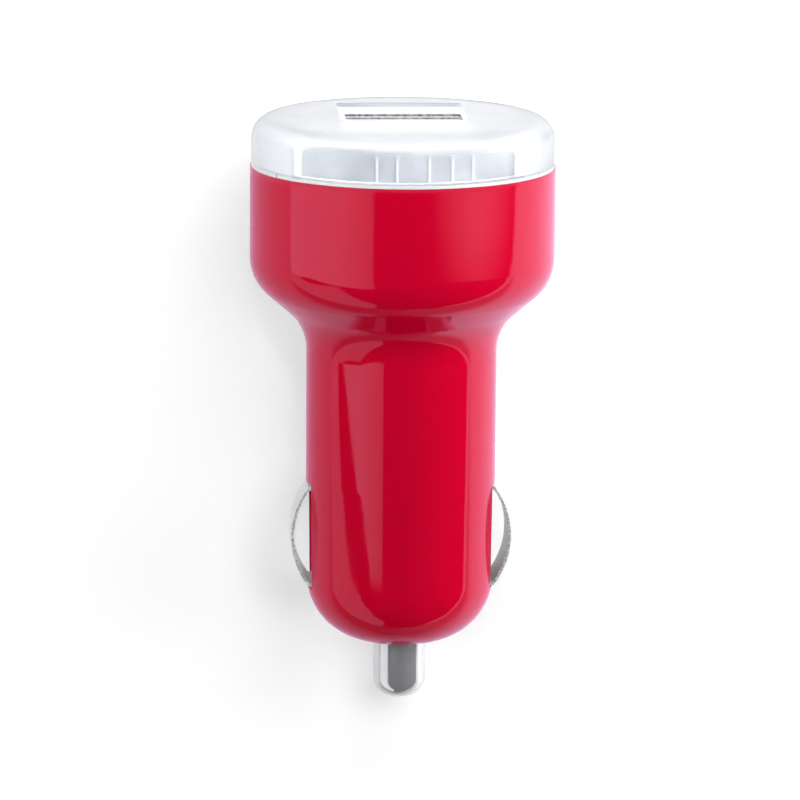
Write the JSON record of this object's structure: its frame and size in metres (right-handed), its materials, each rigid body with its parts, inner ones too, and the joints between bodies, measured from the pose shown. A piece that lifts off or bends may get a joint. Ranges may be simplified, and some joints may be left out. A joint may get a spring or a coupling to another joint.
{
  "type": "car usb charger plug",
  "caption": "Car lighter-socket plug with a flared round head, clear cap, one USB-A port, sprung centre pin and bowed side clips.",
  "frame": {"origin": "on the plug's axis at the neck, where the straight barrel ends and the flare begins", "axes": "+Z along the axis towards the cap and the port, +X across the two ground clips and along the port's long side, -Y towards the side that the port sits nearer"},
  "size_m": [0.0328, 0.0328, 0.0643],
  "materials": {
    "red_shell": "polished moulded plastic",
    "clear_cap": "clear polished polycarbonate",
    "white_carrier": "milky moulded plastic",
    "port_steel": "nickel-plated sheet",
    "port_plastic": "moulded",
    "gold_contact": "gold-plated",
    "board": "lacquered laminate",
    "black_plastic": "moulded",
    "tinned": "tinned",
    "ferrite": "sintered",
    "copper": "enamelled copper wire",
    "can_metal": "drawn can",
    "fuse_body": "coated",
    "ceramic": "fired",
    "led_lens": "moulded lens",
    "nickel": "polished nickel plate",
    "spring_steel": "drawn wire",
    "brass": "stamped",
    "clip_steel": "nickel-plated spring strip"
  },
  "bodies": {
    "plug": {"body_shell": "red_shell", "cap": "clear_cap", "carrier": "white_carrier", "usb_shell": "port_steel", "usb_insulator": "port_plastic", "usb_contact_1": "gold_contact", "usb_contact_2": "gold_contact", "usb_contact_3": "gold_contact", "usb_contact_4": "gold_contact", "circuit_board": "board", "regulator_chip": "black_plastic", "regulator_legs": "tinned", "inductor_core": "ferrite", "inductor_winding": "copper", "input_capacitor": "can_metal", "output_capacitor": "can_metal", "capacitor_bases": "black_plastic", "diode": "black_plastic", "fuse": "fuse_body", "chip_resistors": "black_plastic", "chip_capacitors": "ceramic", "led": "led_lens", "tip_spring": "spring_steel", "spring_cup": "brass", "clip_terminal_left": "brass", "clip_terminal_right": "brass"},
    "tip": {"tip_contact": "nickel"},
    "left_clip": {"clip_left": "clip_steel"},
    "right_clip": {"clip_right": "clip_steel"}
  },
  "joints": [
    {"name": "tip_push", "type": "slide", "parent": "plug", "child": "tip", "axis": [0, 0, 1], "range_m": [0, 0.0022], "stiffness_N_per_m": 400, "springref_m": -0.003, "deforming": ["tip_spring"]},
    {"name": "clip_left_press", "type": "slide", "parent": "plug", "child": "left_clip", "axis": [1, 0, 0], "range_m": [0, 0.0018], "stiffness_N_per_m": 120, "springref_m": -0.002},
    {"name": "clip_right_press", "type": "slide", "parent": "plug", "child": "right_clip", "axis": [-1, 0, 0], "range_m": [0, 0.0018], "stiffness_N_per_m": 120, "springref_m": -0.002}
  ]
}
